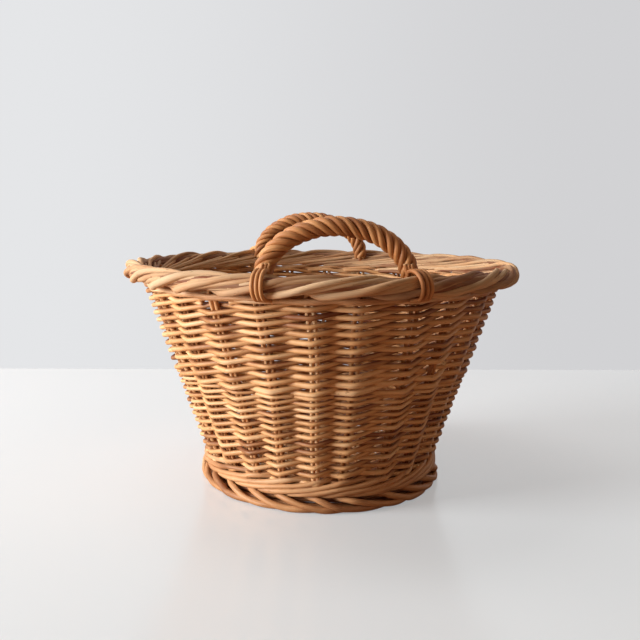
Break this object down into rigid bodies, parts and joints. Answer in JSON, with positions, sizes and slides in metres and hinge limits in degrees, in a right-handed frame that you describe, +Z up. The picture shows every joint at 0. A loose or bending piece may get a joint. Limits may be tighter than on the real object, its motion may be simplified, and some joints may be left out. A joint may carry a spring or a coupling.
{
  "type": "oval willow basket",
  "caption": "Open oval basket of woven willow with a rolled border, a roped handle at each end and a rope foot ring; it carries laundry, bread or market goods.",
  "frame": {"origin": "on the floor under the middle of the base", "axes": "+Y along the basket from handle to handle, +Z up"},
  "size_m": [0.3849, 0.4167, 0.257],
  "materials": {
    "willow_siding": "satin",
    "willow_wale": "satin",
    "willow_stakes": "satin",
    "willow_border": "satin",
    "willow_foot": "satin",
    "willow_base": "satin",
    "willow_handle": "satin"
  },
  "bodies": {
    "root": {"base_cross_stick_1": "willow_base", "base_cross_stick_2": "willow_base", "base_cross_stick_3": "willow_base", "base_cross_stick_4": "willow_base", "base_cross_stick_5": "willow_base", "base_cross_stick_6": "willow_base", "base_long_stick_1": "willow_base", "base_long_stick_2": "willow_base", "base_long_stick_3": "willow_base", "base_long_stick_4": "willow_base", "base_tying_rounds": "willow_base", "base_weaving": "willow_base", "border_back_rod_lower": "willow_border", "border_back_rod_upper": "willow_border", "border_strand_1": "willow_border", "border_strand_2": "willow_border", "border_strand_3": "willow_border", "border_strand_4": "willow_border", "bye_stakes": "willow_stakes", "far_handle_bow": "willow_handle", "far_handle_left_lashing": "willow_handle", "far_handle_right_lashing": "willow_handle", "far_handle_rope": "willow_handle", "foot_strand_1": "willow_foot", "foot_strand_2": "willow_foot", "foot_strand_3": "willow_foot", "near_handle_bow": "willow_handle", "near_handle_left_lashing": "willow_handle", "near_handle_right_lashing": "willow_handle", "near_handle_rope": "willow_handle", "siding_course_01": "willow_siding", "siding_course_02": "willow_siding", "siding_course_03": "willow_siding", "siding_course_04": "willow_siding", "siding_course_05": "willow_siding", "siding_course_06": "willow_siding", "siding_course_07": "willow_siding", "siding_course_08": "willow_siding", "siding_course_09": "willow_siding", "siding_course_10": "willow_siding", "siding_course_11": "willow_siding", "siding_course_12": "willow_siding", "siding_course_13": "willow_siding", "siding_course_14": "willow_siding", "siding_course_15": "willow_siding", "siding_course_16": "willow_siding", "siding_course_17": "willow_siding", "siding_course_18": "willow_siding", "stakes": "willow_stakes", "top_wale_rod_1": "willow_wale", "top_wale_rod_2": "willow_wale", "upsett_kick_rod": "willow_wale", "upsett_wale_rod_1": "willow_wale", "upsett_wale_rod_2": "willow_wale"}
  },
  "joints": []
}
